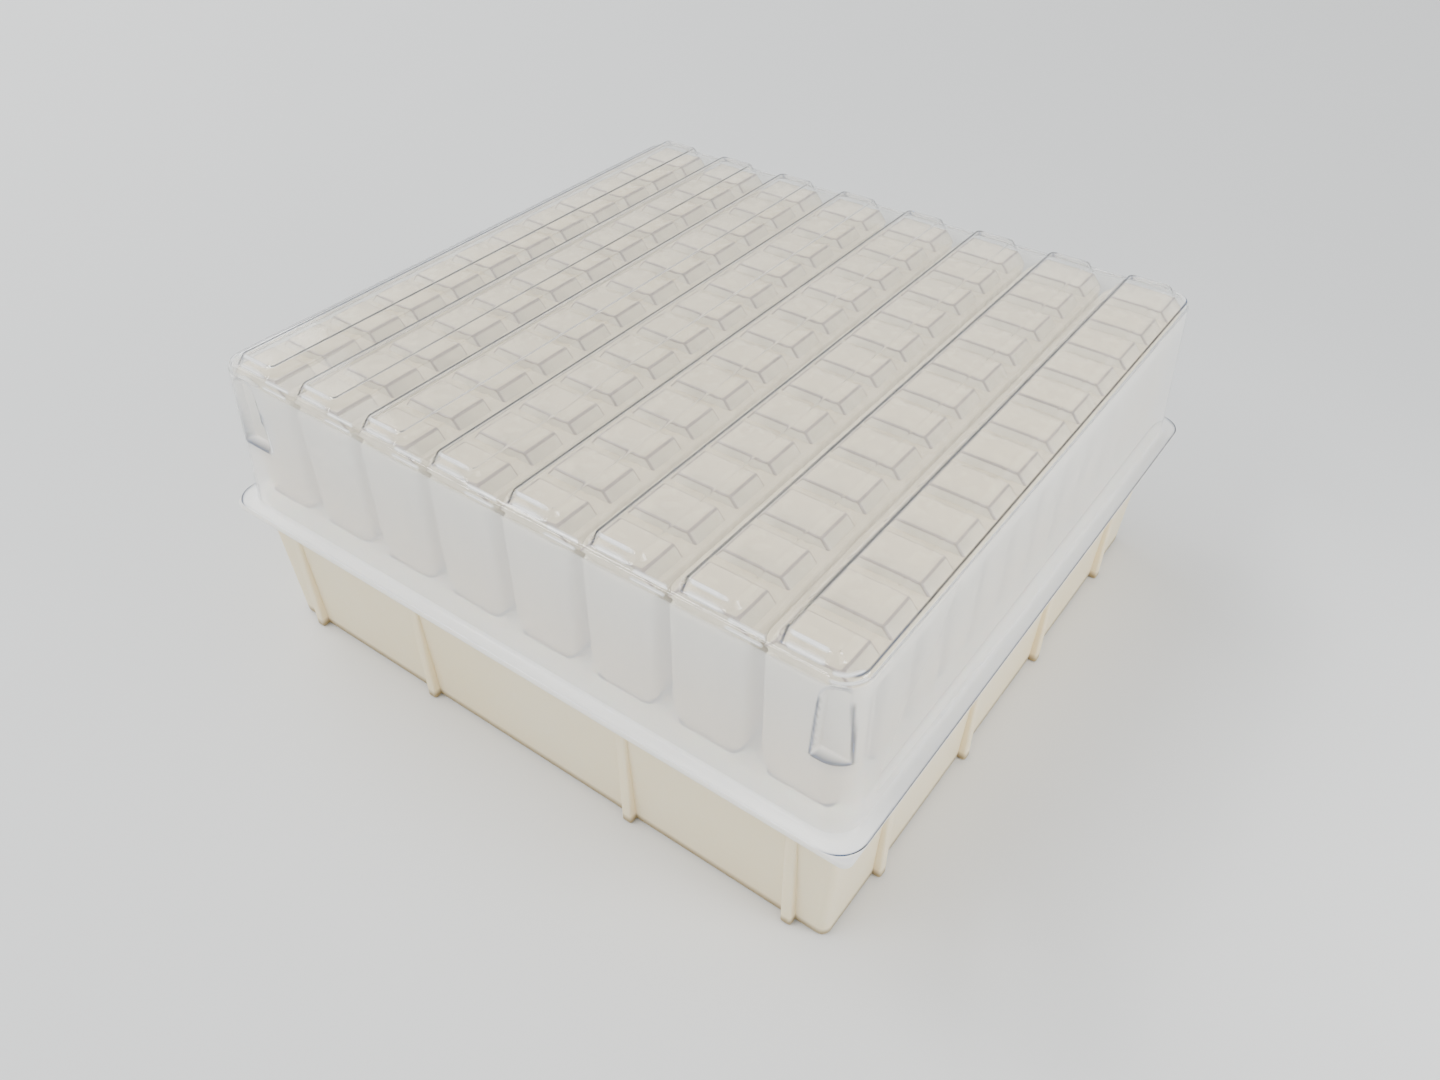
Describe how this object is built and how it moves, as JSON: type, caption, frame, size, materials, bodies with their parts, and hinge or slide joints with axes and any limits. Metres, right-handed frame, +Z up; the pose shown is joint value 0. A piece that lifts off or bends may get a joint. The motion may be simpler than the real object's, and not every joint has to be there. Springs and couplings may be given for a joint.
{
  "type": "cryogenic storage box",
  "caption": "Freezer box for sample tubes: ribbed tub, slotted rack plate, strips of U-bottomed tubes with cap strips, and a thin clear lid with long ridges and a flat flange.",
  "frame": {"origin": "middle of the footprint, on the flat underside that rests on the bench", "axes": "+Z up, the way the lid lifts off; +X across the strips, along the slightly longer side; +Y along the strips and the lid's ridges"},
  "size_m": [0.1362, 0.1308, 0.061],
  "materials": {
    "cream_polypropylene": "fine matte moulded",
    "white_polypropylene": "matte moulded",
    "milky_polypropylene": "translucent, satin",
    "milky_caps": "translucent, satin",
    "clear_sheet": "clear, glossy, thermoformed"
  },
  "bodies": {
    "base": {"base_tub": "cream_polypropylene", "rack_plate": "white_polypropylene", "tube_strip_a": "milky_polypropylene", "tube_strip_b": "milky_polypropylene", "tube_strip_c": "milky_polypropylene", "tube_strip_d": "milky_polypropylene", "tube_strip_e": "milky_polypropylene", "tube_strip_f": "milky_polypropylene", "tube_strip_g": "milky_polypropylene", "tube_strip_h": "milky_polypropylene", "cap_strip_a": "milky_caps", "cap_strip_b": "milky_caps", "cap_strip_c": "milky_caps", "cap_strip_d": "milky_caps", "cap_strip_e": "milky_caps", "cap_strip_f": "milky_caps", "cap_strip_g": "milky_caps", "cap_strip_h": "milky_caps"},
    "lid": {"clear_lid": "clear_sheet"}
  },
  "joints": [
    {"name": "lid_lift", "type": "slide", "parent": "base", "child": "lid", "axis": [0, 0, 1], "range_m": [0, 0.06]}
  ]
}
